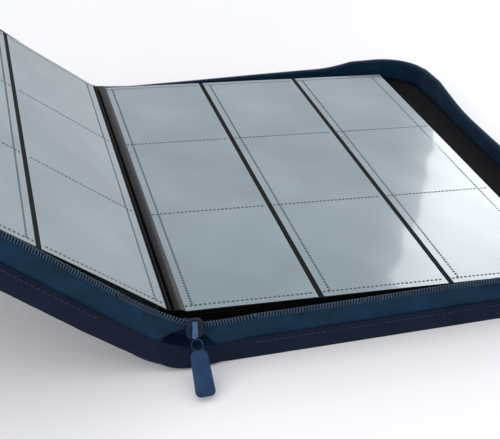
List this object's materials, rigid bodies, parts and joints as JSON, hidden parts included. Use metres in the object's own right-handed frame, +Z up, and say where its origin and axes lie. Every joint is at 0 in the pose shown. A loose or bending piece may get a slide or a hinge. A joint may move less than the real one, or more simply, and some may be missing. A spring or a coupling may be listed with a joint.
{
  "type": "trading card binder",
  "caption": "Zip-round binder for trading cards, open, with side-loading pocket pages on black backing and a rigid cover each side of an arched spine.",
  "frame": {"origin": "middle of the back cover's outer face, which lies on the table", "axes": "+X from the spine to the back cover's fore edge, +Y to the head, +Z up, with the front cover open over -X"},
  "size_m": [0.4564, 0.3393, 0.1857],
  "materials": {
    "cover_leather": "grained",
    "board": "matte",
    "lining_fabric": "woven",
    "edge_webbing": "woven",
    "zip_tape": "woven",
    "zip_coil": "satin",
    "page_backing": "matte",
    "pocket_film": "gloss",
    "slider_enamel": "satin",
    "pull_wire": "satin",
    "pull_tab_coating": "matte"
  },
  "bodies": {
    "back_cover": {"back_cover_skin": "cover_leather", "back_cover_board": "board", "back_cover_lining": "lining_fabric", "back_edge_band": "edge_webbing", "back_zip_tape": "zip_tape", "back_zip_coil": "zip_coil", "back_hinge_fold": "cover_leather"},
    "spine": {"spine_skin": "cover_leather", "spine_board": "board", "spine_lining": "lining_fabric", "spine_page_strip": "page_backing", "foot_gusset": "zip_tape", "head_gusset": "zip_tape"},
    "front_cover": {"front_cover_skin": "cover_leather", "front_cover_board": "board", "front_cover_lining": "lining_fabric", "front_edge_band": "edge_webbing", "front_zip_tape": "zip_tape", "front_zip_coil": "zip_coil", "front_hinge_fold": "cover_leather"},
    "back_binding": {"back_page_binding": "page_backing"},
    "front_binding": {"front_page_binding": "page_backing"},
    "back_page_01": {"back_page_01": "page_backing", "back_page_01_pockets": "pocket_film"},
    "back_page_02": {"back_page_02": "page_backing", "back_page_02_pockets": "pocket_film"},
    "back_page_03": {"back_page_03": "page_backing", "back_page_03_pockets": "pocket_film"},
    "back_page_04": {"back_page_04": "page_backing", "back_page_04_pockets": "pocket_film"},
    "back_page_05": {"back_page_05": "page_backing", "back_page_05_pockets": "pocket_film"},
    "back_page_06": {"back_page_06": "page_backing", "back_page_06_pockets": "pocket_film"},
    "back_page_07": {"back_page_07": "page_backing", "back_page_07_pockets": "pocket_film"},
    "back_page_08": {"back_page_08": "page_backing", "back_page_08_pockets": "pocket_film"},
    "back_page_09": {"back_page_09": "page_backing", "back_page_09_pockets": "pocket_film"},
    "front_page_01": {"front_page_01": "page_backing", "front_page_01_pockets": "pocket_film"},
    "front_page_02": {"front_page_02": "page_backing", "front_page_02_pockets": "pocket_film"},
    "front_page_03": {"front_page_03": "page_backing", "front_page_03_pockets": "pocket_film"},
    "front_page_04": {"front_page_04": "page_backing", "front_page_04_pockets": "pocket_film"},
    "front_page_05": {"front_page_05": "page_backing", "front_page_05_pockets": "pocket_film"},
    "zip_slider": {"zip_slider": "slider_enamel", "slider_bridge": "slider_enamel"},
    "pull_tab": {"pull_ring": "pull_wire", "pull_tab": "pull_tab_coating"}
  },
  "joints": [
    {"name": "spine_hinge", "type": "hinge", "parent": "back_cover", "child": "spine", "pos_m": [-0.11609, 0, 0.002], "axis": [0, 1, 0], "range_deg": [0, 70]},
    {"name": "front_cover_hinge", "type": "hinge", "parent": "spine", "child": "front_cover", "pos_m": [-0.1612, 0, 0.01842], "axis": [0, 1, 0], "range_deg": [0, 70]},
    {"name": "back_binding_hinge", "type": "hinge", "parent": "spine", "child": "back_binding", "pos_m": [-0.12534, 0, 0.0152], "axis": [0, 1, 0], "range_deg": [-70, 0]},
    {"name": "front_binding_hinge", "type": "hinge", "parent": "spine", "child": "front_binding", "pos_m": [-0.14563, 0, 0.02259], "axis": [0, 1, 0], "range_deg": [0, 70]},
    {"name": "back_page_01_turn", "type": "hinge", "parent": "back_binding", "child": "back_page_01", "pos_m": [-0.13109, 0, 0.006], "axis": [0, 1, 0], "range_deg": [-4, 0]},
    {"name": "back_page_02_turn", "type": "hinge", "parent": "back_binding", "child": "back_page_02", "pos_m": [-0.13109, 0, 0.00817], "axis": [0, 1, 0], "range_deg": [-9, 0]},
    {"name": "back_page_03_turn", "type": "hinge", "parent": "back_binding", "child": "back_page_03", "pos_m": [-0.13109, 0, 0.01035], "axis": [0, 1, 0], "range_deg": [-15, 0]},
    {"name": "back_page_04_turn", "type": "hinge", "parent": "back_binding", "child": "back_page_04", "pos_m": [-0.13109, 0, 0.01252], "axis": [0, 1, 0], "range_deg": [-22, 0]},
    {"name": "back_page_05_turn", "type": "hinge", "parent": "back_binding", "child": "back_page_05", "pos_m": [-0.13109, 0, 0.0147], "axis": [0, 1, 0], "range_deg": [-30, 0]},
    {"name": "back_page_06_turn", "type": "hinge", "parent": "back_binding", "child": "back_page_06", "pos_m": [-0.13109, 0, 0.01688], "axis": [0, 1, 0], "range_deg": [-39, 0]},
    {"name": "back_page_07_turn", "type": "hinge", "parent": "back_binding", "child": "back_page_07", "pos_m": [-0.13109, 0, 0.01905], "axis": [0, 1, 0], "range_deg": [-49, 0]},
    {"name": "back_page_08_turn", "type": "hinge", "parent": "back_binding", "child": "back_page_08", "pos_m": [-0.13109, 0, 0.02123], "axis": [0, 1, 0], "range_deg": [-60, 0]},
    {"name": "back_page_09_turn", "type": "hinge", "parent": "back_binding", "child": "back_page_09", "pos_m": [-0.13109, 0, 0.0234], "axis": [0, 1, 0], "range_deg": [-100, 0]},
    {"name": "front_page_01_turn", "type": "hinge", "parent": "front_binding", "child": "front_page_01", "pos_m": [-0.14714, 0, 0.01184], "axis": [0, -1, 0], "range_deg": [-5.1, 0]},
    {"name": "front_page_02_turn", "type": "hinge", "parent": "front_binding", "child": "front_page_02", "pos_m": [-0.14434, 0, 0.01517], "axis": [0, -1, 0], "range_deg": [-10.88, 0]},
    {"name": "front_page_03_turn", "type": "hinge", "parent": "front_binding", "child": "front_page_03", "pos_m": [-0.14154, 0, 0.0185], "axis": [0, -1, 0], "range_deg": [-17, 0]},
    {"name": "front_page_04_turn", "type": "hinge", "parent": "front_binding", "child": "front_page_04", "pos_m": [-0.13875, 0, 0.02184], "axis": [0, -1, 0], "range_deg": [-23.8, 0]},
    {"name": "front_page_05_turn", "type": "hinge", "parent": "front_binding", "child": "front_page_05", "pos_m": [-0.13595, 0, 0.02517], "axis": [0, -1, 0], "range_deg": [-34, 0]},
    {"name": "slider_slide", "type": "slide", "parent": "spine", "child": "zip_slider", "axis": [0, 0, 1], "range_m": [-0.005, 0]},
    {"name": "pull_tab_hinge", "type": "hinge", "parent": "zip_slider", "child": "pull_tab", "pos_m": [-0.12668, -0.1615, 0.02037], "axis": [-1, 0, 0], "range_deg": [-45, 120]}
  ],
  "couplings": [
    {"joint": "front_cover_hinge", "follows": "spine_hinge", "ratio": 1},
    {"joint": "back_binding_hinge", "follows": "spine_hinge", "ratio": -1},
    {"joint": "front_binding_hinge", "follows": "spine_hinge", "ratio": 1},
    {"joint": "back_page_01_turn", "follows": "back_page_09_turn", "ratio": 0.04},
    {"joint": "back_page_02_turn", "follows": "back_page_09_turn", "ratio": 0.09},
    {"joint": "back_page_03_turn", "follows": "back_page_09_turn", "ratio": 0.15},
    {"joint": "back_page_04_turn", "follows": "back_page_09_turn", "ratio": 0.22},
    {"joint": "back_page_05_turn", "follows": "back_page_09_turn", "ratio": 0.3},
    {"joint": "back_page_06_turn", "follows": "back_page_09_turn", "ratio": 0.39},
    {"joint": "back_page_07_turn", "follows": "back_page_09_turn", "ratio": 0.49},
    {"joint": "back_page_08_turn", "follows": "back_page_09_turn", "ratio": 0.6},
    {"joint": "front_page_01_turn", "follows": "front_page_05_turn", "ratio": 0.15},
    {"joint": "front_page_02_turn", "follows": "front_page_05_turn", "ratio": 0.32},
    {"joint": "front_page_03_turn", "follows": "front_page_05_turn", "ratio": 0.5},
    {"joint": "front_page_04_turn", "follows": "front_page_05_turn", "ratio": 0.7}
  ]
}
